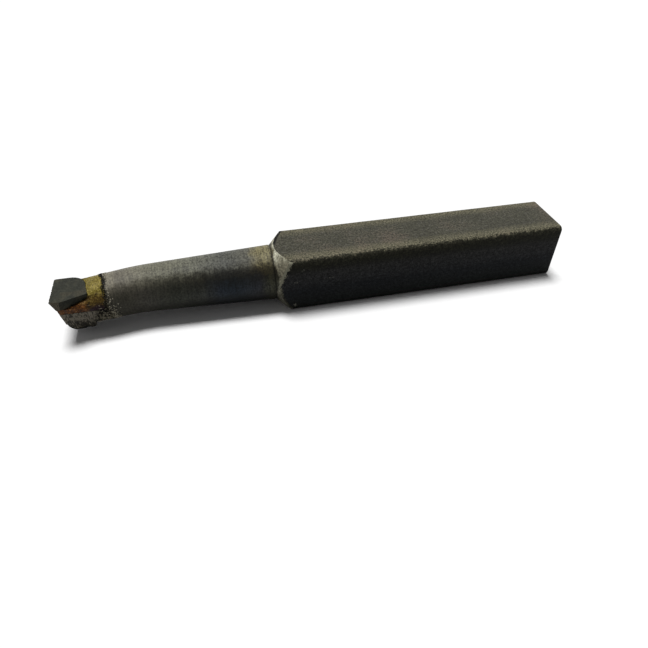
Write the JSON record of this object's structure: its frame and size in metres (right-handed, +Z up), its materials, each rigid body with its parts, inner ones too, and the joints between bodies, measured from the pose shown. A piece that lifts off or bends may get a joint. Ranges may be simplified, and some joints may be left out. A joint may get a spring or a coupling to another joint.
{
  "type": "boring bar",
  "caption": "Square-shank boring bar with a slim turned neck, a head bent towards the nose side and a brazed carbide cutting tip, used and blackened by heat.",
  "frame": {"origin": "centre of the shank's lower seating face, midway between the rear end and the corners of the shoulder", "axes": "+Z up from the seating face to the rake face; +X along the shank to its rear end, so the head is at -X; the nose of the tip points towards -Y"},
  "size_m": [0.1689, 0.0202, 0.02],
  "materials": {
    "forged_steel": "hot-rolled and heat-treated tool steel with dark scale on the shank and fine turning marks and temper colours on the neck",
    "cemented_carbide": "sintered tungsten carbide, matt dark grey, brighter where it was ground",
    "brazing_brass": "brass filler run over the steel, yellow on top and copper red along the joint"
  },
  "bodies": {
    "root": {"bar": "forged_steel", "carbide_tip": "cemented_carbide", "braze": "brazing_brass"}
  },
  "joints": []
}
